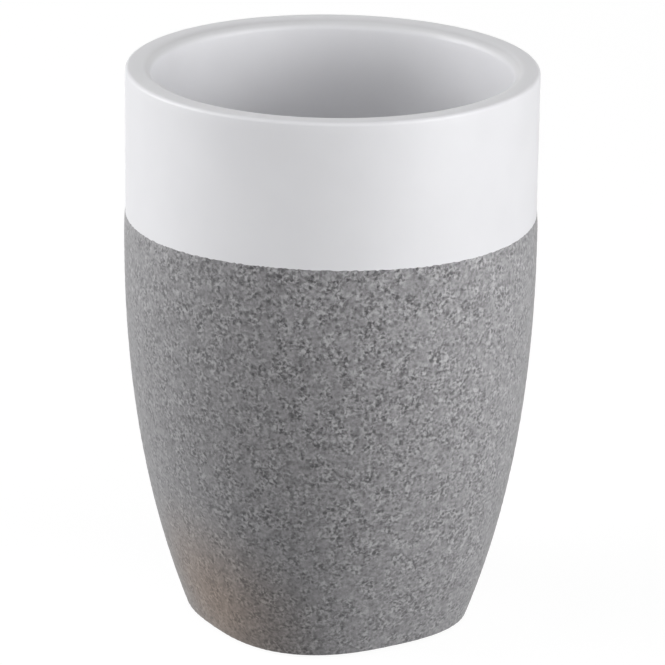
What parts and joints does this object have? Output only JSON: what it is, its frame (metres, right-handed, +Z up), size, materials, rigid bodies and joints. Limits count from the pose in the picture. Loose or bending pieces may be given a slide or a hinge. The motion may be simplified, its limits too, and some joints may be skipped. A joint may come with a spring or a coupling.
{
  "type": "bathroom tumbler",
  "caption": "Handleless ceramic tumbler with a round rim, a soft square foot, a plain white glazed band and a stone-textured coat below it.",
  "frame": {"origin": "on the tumbler's axis, in the plane that its feet stand on", "axes": "+Z up along the axis; X and Y each face a flat of the soft square foot"},
  "size_m": [0.0804, 0.0804, 0.112],
  "materials": {
    "stoneware": "unglazed, matte",
    "white_glaze": "satin white glaze",
    "base_glaze": "satin white glaze, slightly thin",
    "stone_coat": "fine grey sand texture, matte",
    "silicone": "clear silicone, smooth",
    "adhesive": "clear acrylic adhesive film"
  },
  "bodies": {
    "root": {"ceramic_body": "stoneware", "white_glaze": "white_glaze", "base_glaze": "base_glaze", "stone_coat": "stone_coat", "foot_pads": "silicone", "foot_adhesive": "adhesive"}
  },
  "joints": []
}
